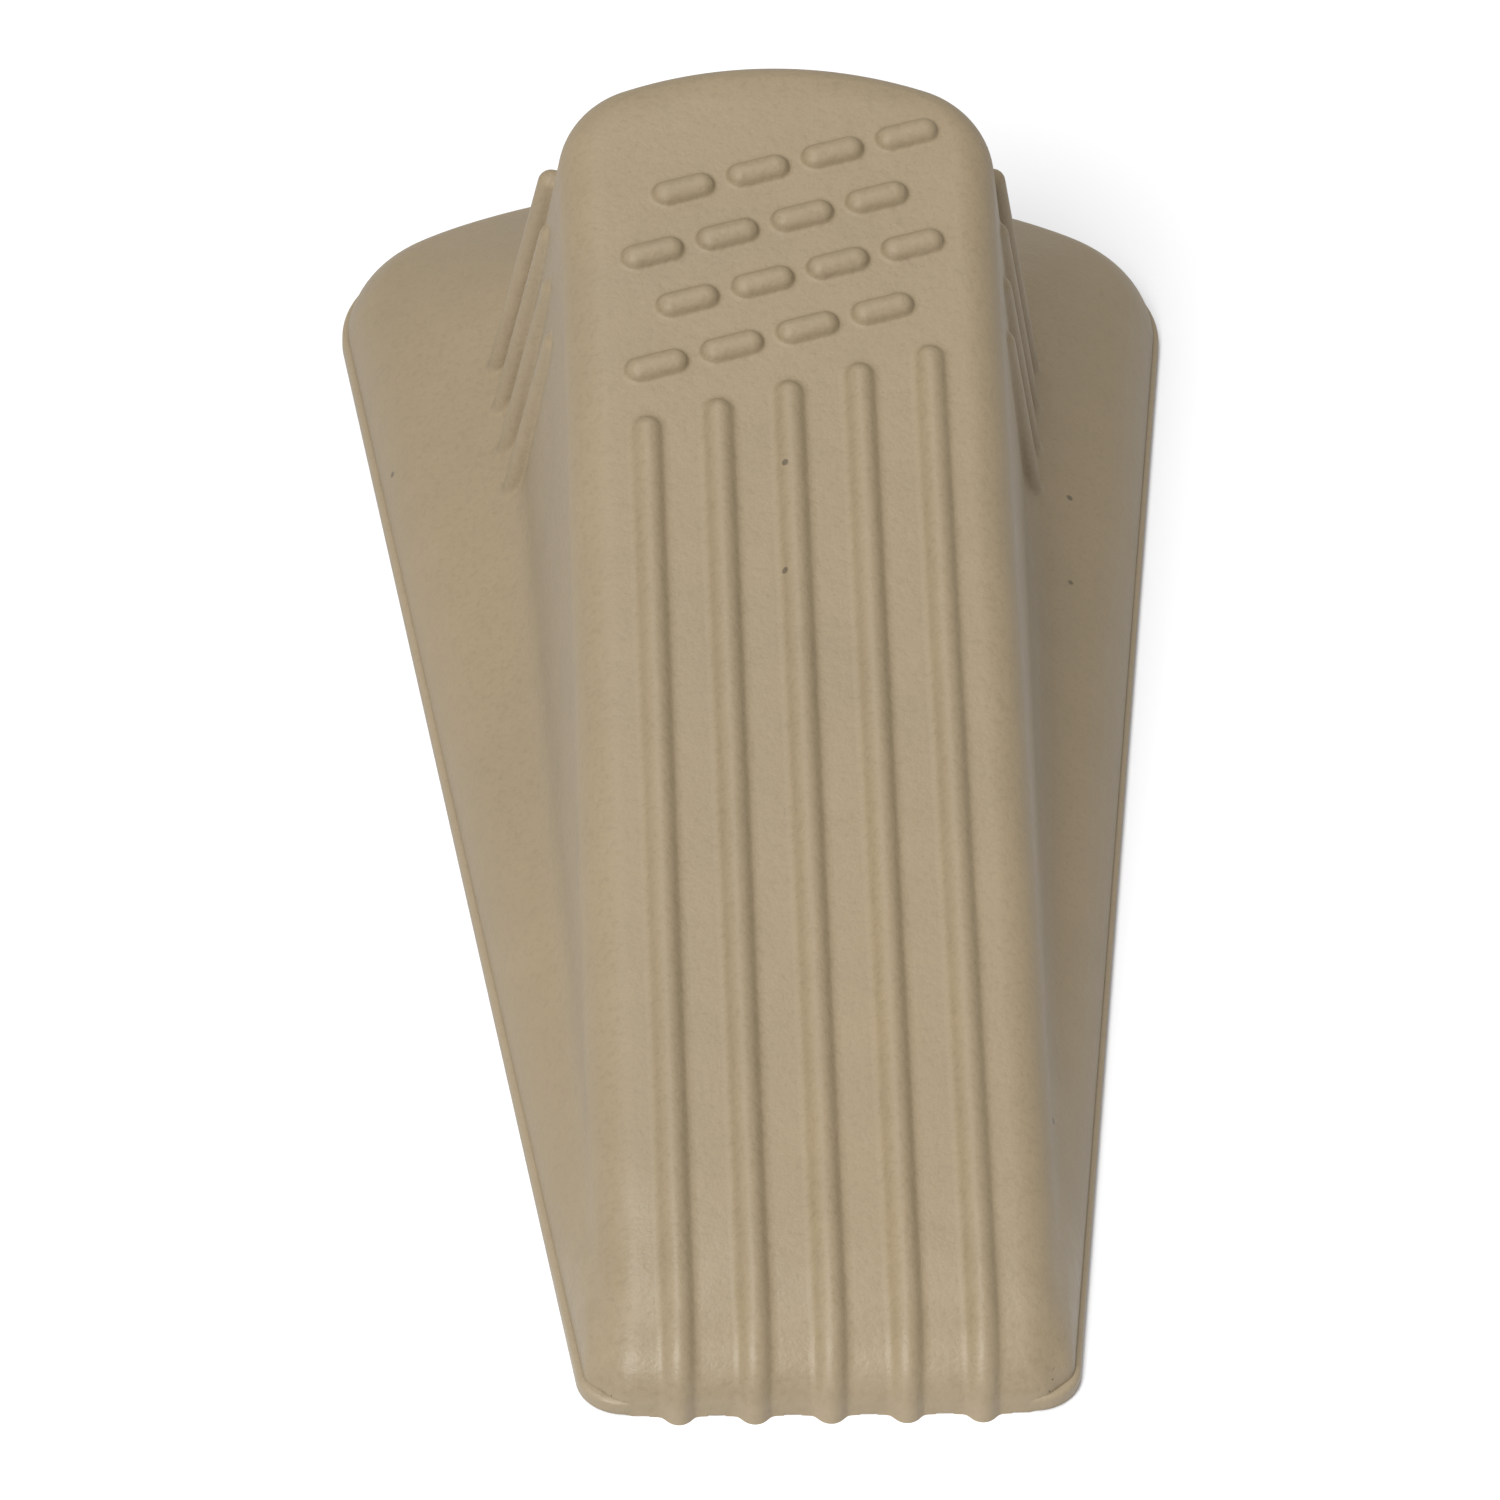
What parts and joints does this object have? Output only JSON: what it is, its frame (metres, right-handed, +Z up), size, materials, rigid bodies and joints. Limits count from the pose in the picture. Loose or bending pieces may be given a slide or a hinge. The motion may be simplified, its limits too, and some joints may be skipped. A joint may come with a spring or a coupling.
{
  "type": "door wedge",
  "caption": "One-piece moulded beige rubber door wedge with a ribbed sloping top, a wide foot with a thin lip, short side ribs and a field of grip bars.",
  "frame": {"origin": "on the floor, under the middle of the bounding box", "axes": "+Z up, +Y from the thin toe towards the tall heel, +X to the side"},
  "size_m": [0.0572, 0.1206, 0.0317],
  "materials": {
    "rubber": "matte moulded beige rubber with a fine grain"
  },
  "bodies": {
    "root": {"foot": "rubber", "grip_bar_01": "rubber", "grip_bar_02": "rubber", "grip_bar_03": "rubber", "grip_bar_04": "rubber", "grip_bar_05": "rubber", "grip_bar_06": "rubber", "grip_bar_07": "rubber", "grip_bar_08": "rubber", "grip_bar_09": "rubber", "grip_bar_10": "rubber", "grip_bar_11": "rubber", "grip_bar_12": "rubber", "grip_bar_13": "rubber", "grip_bar_14": "rubber", "grip_bar_15": "rubber", "grip_bar_16": "rubber", "side_rib_left_1": "rubber", "side_rib_left_2": "rubber", "side_rib_left_3": "rubber", "side_rib_left_4": "rubber", "side_rib_right_1": "rubber", "side_rib_right_2": "rubber", "side_rib_right_3": "rubber", "side_rib_right_4": "rubber", "sole": "rubber", "top_rib_1": "rubber", "top_rib_2": "rubber", "top_rib_3": "rubber", "top_rib_4": "rubber", "top_rib_5": "rubber", "wedge_body": "rubber"}
  },
  "joints": []
}
